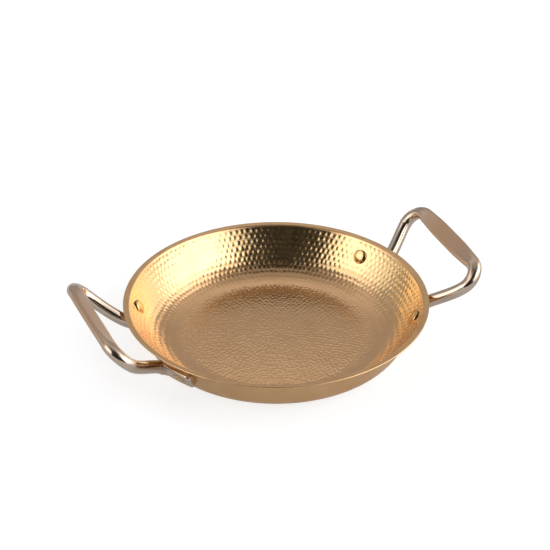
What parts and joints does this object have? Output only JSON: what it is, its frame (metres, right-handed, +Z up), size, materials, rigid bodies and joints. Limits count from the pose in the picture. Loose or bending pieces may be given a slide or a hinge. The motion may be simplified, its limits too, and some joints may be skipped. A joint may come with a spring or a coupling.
{
  "type": "two-handled serving pan",
  "caption": "Shallow round serving pan of hammered sheet metal with a flared lip, carried by bent tube loop handles riveted to its wall at opposite sides.",
  "frame": {"origin": "middle of the base's underside, on the pan's axis", "axes": "+Z up out of the bowl, +X towards the right-hand handle, so that the handles lie on +X and -X"},
  "size_m": [0.4072, 0.31, 0.0778],
  "materials": {
    "pan_gold": "gold-coloured stainless steel: polished and hammered inside, brushed outside",
    "handle_bronze": "champagne gold-coloured stainless steel tube, satin on the grips and polished on the legs",
    "rivet_gold": "polished gold-coloured stainless steel"
  },
  "bodies": {
    "root": {"pan_shell": "pan_gold", "handle_right": "handle_bronze", "handle_left": "handle_bronze", "rivet_right_front": "rivet_gold", "rivet_right_back": "rivet_gold", "rivet_left_front": "rivet_gold", "rivet_left_back": "rivet_gold"}
  },
  "joints": []
}
